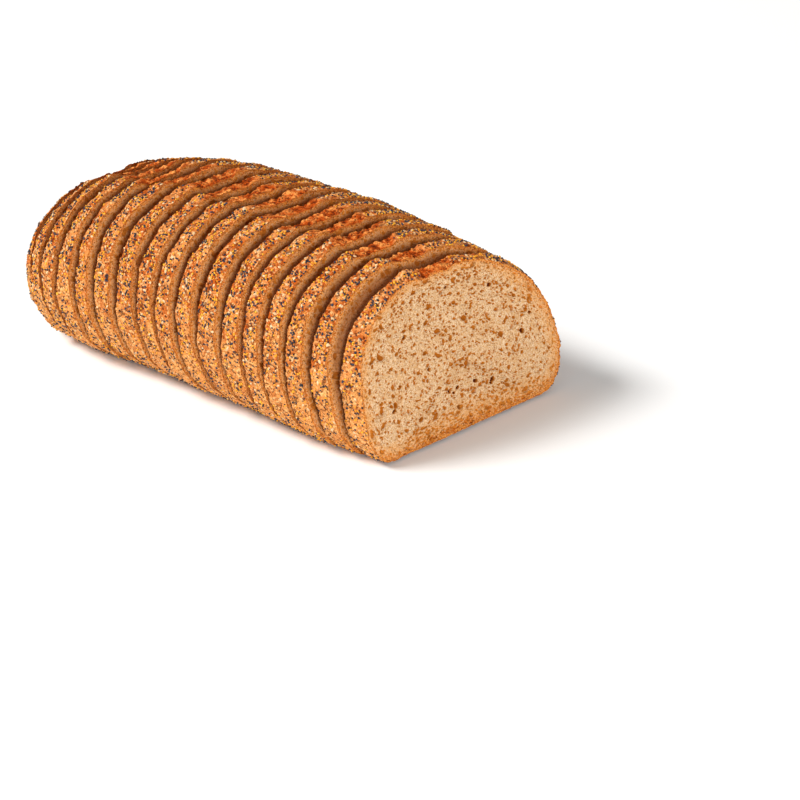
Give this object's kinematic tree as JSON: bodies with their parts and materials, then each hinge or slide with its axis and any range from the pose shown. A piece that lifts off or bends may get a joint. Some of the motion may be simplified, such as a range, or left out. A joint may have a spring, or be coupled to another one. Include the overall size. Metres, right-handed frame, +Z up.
{
  "type": "sliced whole wheat hearth loaf",
  "caption": "Oval whole wheat hearth loaf with a seeded, scored crust, cut into slices that still stand together and lean back, with an open cut face in front.",
  "frame": {"origin": "on the surface that the loaf stands on, under the middle of the loaf's box", "axes": "+X along the loaf from the heel to the open cut face, +Z up"},
  "size_m": [0.288, 0.1574, 0.1081],
  "materials": {
    "bread": "matte"
  },
  "bodies": {
    "root": {"slice_01": "bread", "slice_02": "bread", "slice_03": "bread", "slice_04": "bread", "slice_05": "bread", "slice_06": "bread", "slice_07": "bread", "slice_08": "bread", "slice_09": "bread", "slice_10": "bread", "slice_11": "bread", "slice_12": "bread", "slice_13": "bread", "slice_14": "bread", "slice_15": "bread", "slice_16": "bread", "heel": "bread"}
  },
  "joints": []
}
